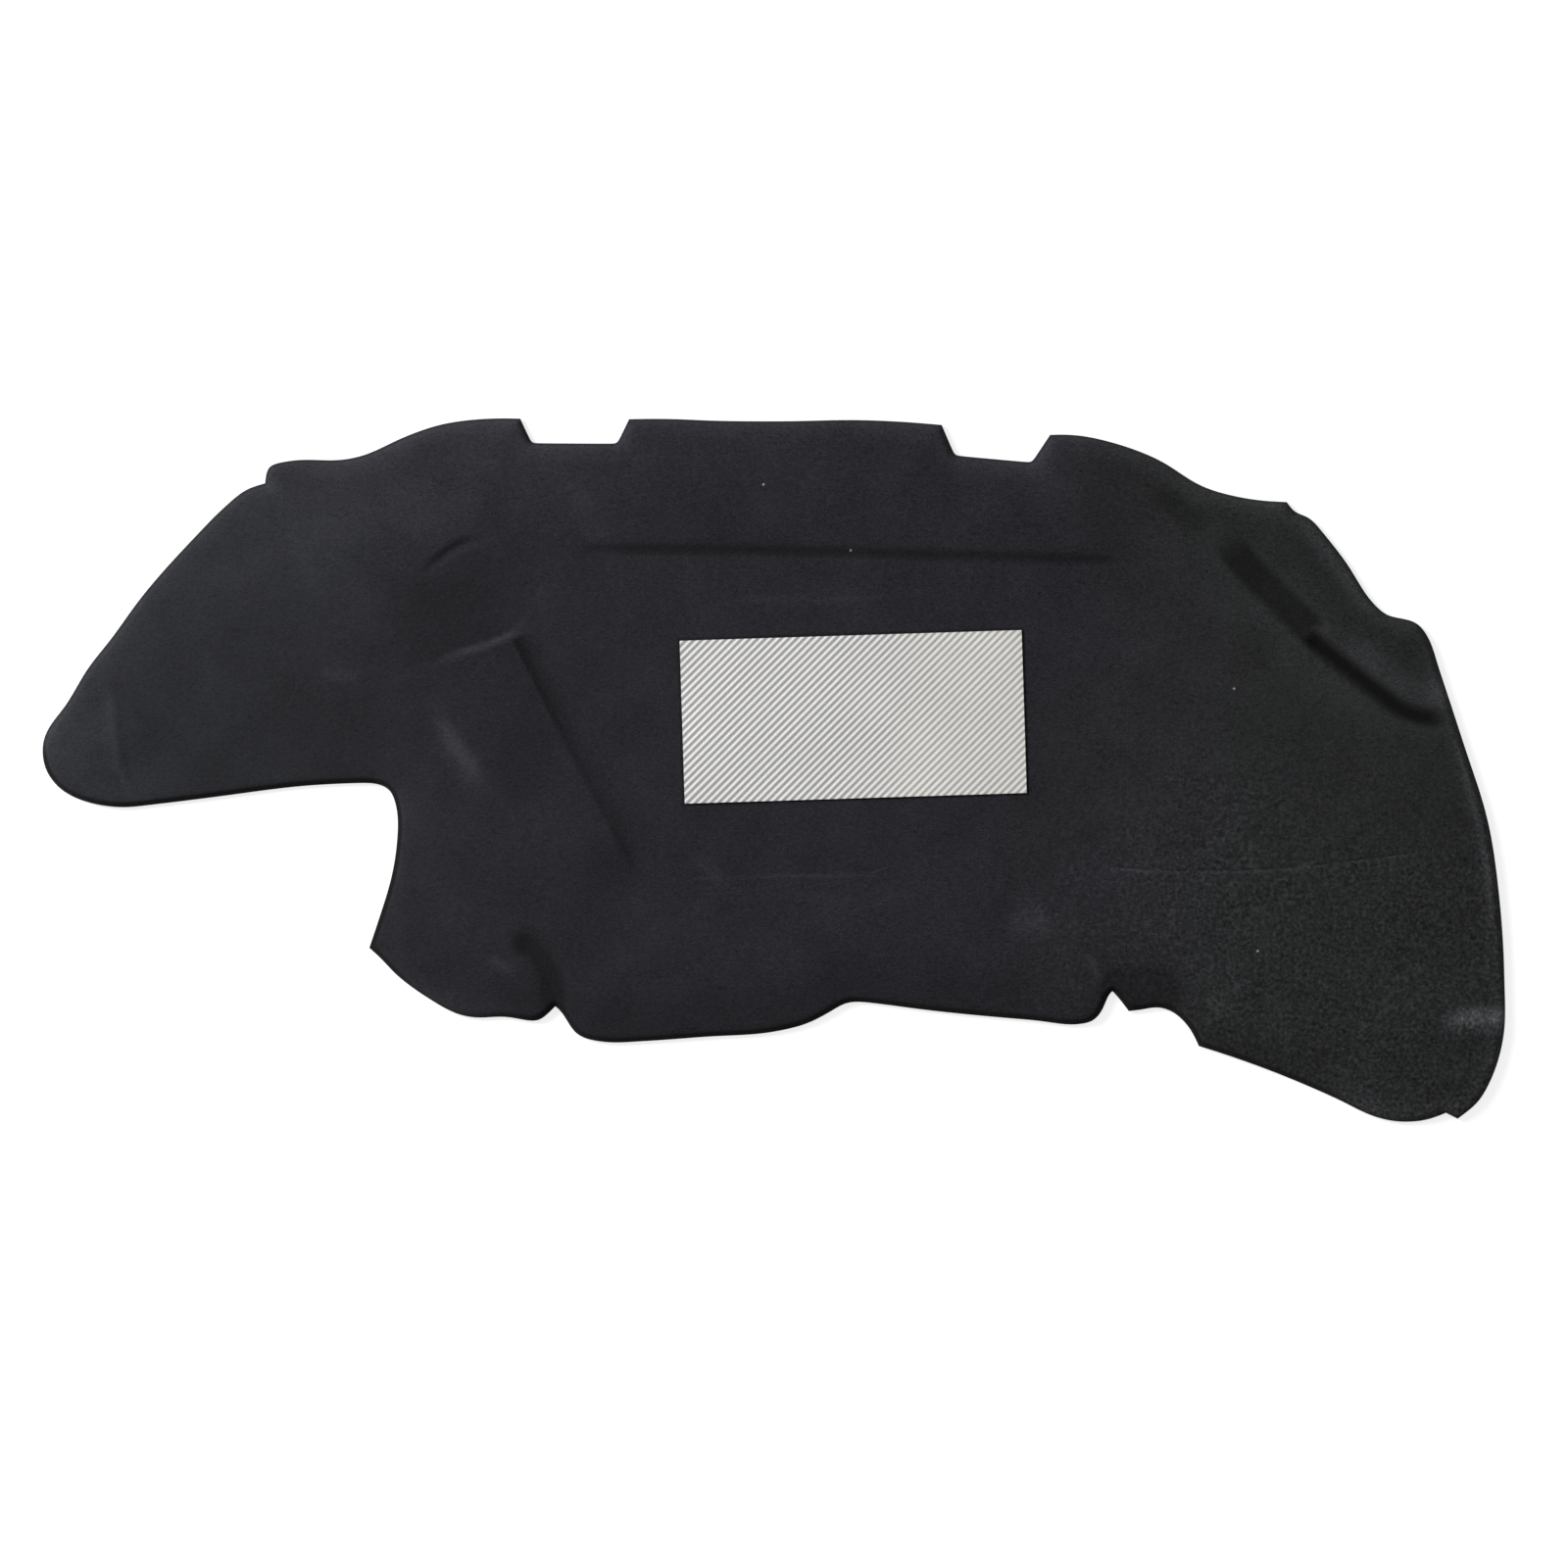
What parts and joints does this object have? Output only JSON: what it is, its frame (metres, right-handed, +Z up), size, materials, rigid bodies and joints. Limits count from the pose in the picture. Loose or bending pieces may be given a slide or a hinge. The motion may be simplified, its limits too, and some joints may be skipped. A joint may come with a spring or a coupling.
{
  "type": "hood insulation pad",
  "caption": "Moulded black felt pad that lines the underside of a car hood, with front-edge notches, pressed creases and a ribbed reflective patch on its flat panel",
  "frame": {"origin": "middle of the bounding box, at the level that the pad lies on", "axes": "+X along the pad, from its narrow wing to its wide end; +Y towards the front edge with the two notches; +Z up, out of the finished side"},
  "size_m": [1.2508, 0.6016, 0.022],
  "materials": {
    "felt": "matt needled felt, near black with a blue-grey cast",
    "foil": "ribbed silver foil, satin"
  },
  "bodies": {
    "root": {"felt_pad": "felt", "heat_patch": "foil"}
  },
  "joints": []
}
